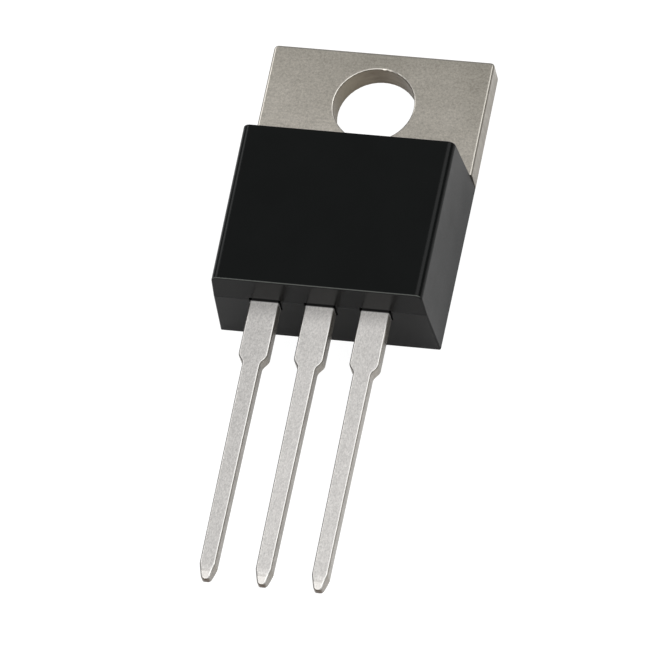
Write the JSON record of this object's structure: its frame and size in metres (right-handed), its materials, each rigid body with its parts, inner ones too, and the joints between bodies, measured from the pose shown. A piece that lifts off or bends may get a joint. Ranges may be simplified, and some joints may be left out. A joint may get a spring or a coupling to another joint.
{
  "type": "thyristor",
  "caption": "Power thyristor: black moulded body on a nickel-plated heat sink tab with a mounting hole, and flat tinned leads in a row.",
  "frame": {"origin": "centre of the mounting hole on the mounting face, the flat back of the heat sink", "axes": "+X across the package to the gate side, +Y along the package from the lead tips to the tab end, +Z out of the marked front, normal to the mounting face"},
  "size_m": [0.0104, 0.0282, 0.0045],
  "materials": {
    "nickel_plate": "satin nickel plating on copper, fine mottled grain",
    "black_epoxy": "semi-matt moulded epoxy",
    "tin_plate": "satin tin on copper, fine lengthwise grain",
    "silicon": "polished silicon with a metallised face",
    "solder": "dull solder",
    "bare_copper": "clean rolled copper"
  },
  "bodies": {
    "root": {"heat_sink_tab": "nickel_plate", "moulded_body": "black_epoxy", "cathode_lead": "tin_plate", "anode_lead": "tin_plate", "gate_lead": "tin_plate", "thyristor_die": "silicon", "die_attach_solder": "solder", "cathode_clip": "bare_copper", "cathode_clip_die_solder": "solder", "cathode_clip_post_solder": "solder", "gate_clip": "bare_copper", "gate_clip_die_solder": "solder", "gate_clip_post_solder": "solder"}
  },
  "joints": []
}
